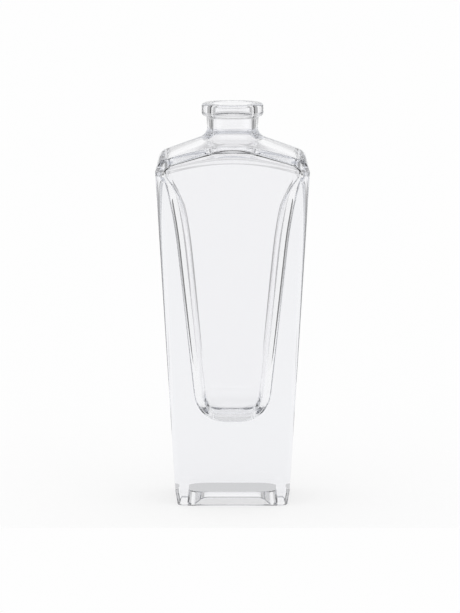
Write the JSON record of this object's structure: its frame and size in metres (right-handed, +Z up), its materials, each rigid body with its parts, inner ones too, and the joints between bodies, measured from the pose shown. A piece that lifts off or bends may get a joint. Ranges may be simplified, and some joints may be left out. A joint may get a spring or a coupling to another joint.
{
  "type": "perfume bottle",
  "caption": "Clear glass perfume bottle body: rectangular block widening upward to an arched crease, shallow cone shoulder, crimp neck, deep tapered cavity over a thick solid foot.",
  "frame": {"origin": "on the neck axis, in the plane of the bearing rim the bottle stands on", "axes": "+Z up along the neck axis, X along the wide front face, -Y out of the front face"},
  "size_m": [0.037, 0.0258, 0.0968],
  "materials": {
    "clear_glass": "clear, smooth, fire polished"
  },
  "bodies": {
    "root": {"glass_bottle": "clear_glass"}
  },
  "joints": []
}
